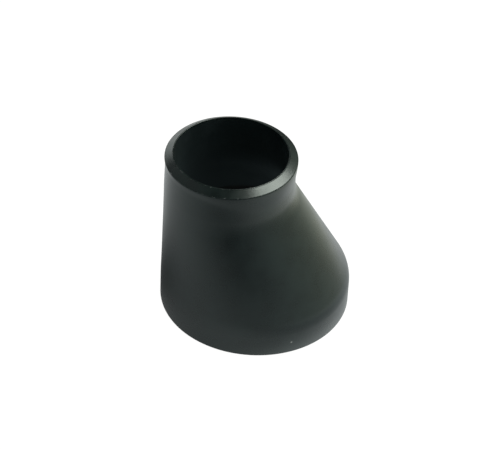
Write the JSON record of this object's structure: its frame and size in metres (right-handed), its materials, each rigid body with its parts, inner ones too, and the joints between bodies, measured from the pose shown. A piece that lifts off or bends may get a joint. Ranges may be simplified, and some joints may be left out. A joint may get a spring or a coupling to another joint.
{
  "type": "eccentric pipe reducer",
  "caption": "Black butt-weld pipe reducer whose small end sits off centre, with one straight side, one sloping side and a bevel on each end.",
  "frame": {"origin": "centre of the large end face, which it stands on", "axes": "+Z along the run towards the small end, straight side of the run towards -X"},
  "size_m": [0.0888, 0.0888, 0.09],
  "materials": {
    "varnished_steel": "satin black varnish over formed carbon steel"
  },
  "bodies": {
    "root": {"reducer_body": "varnished_steel"}
  },
  "joints": []
}
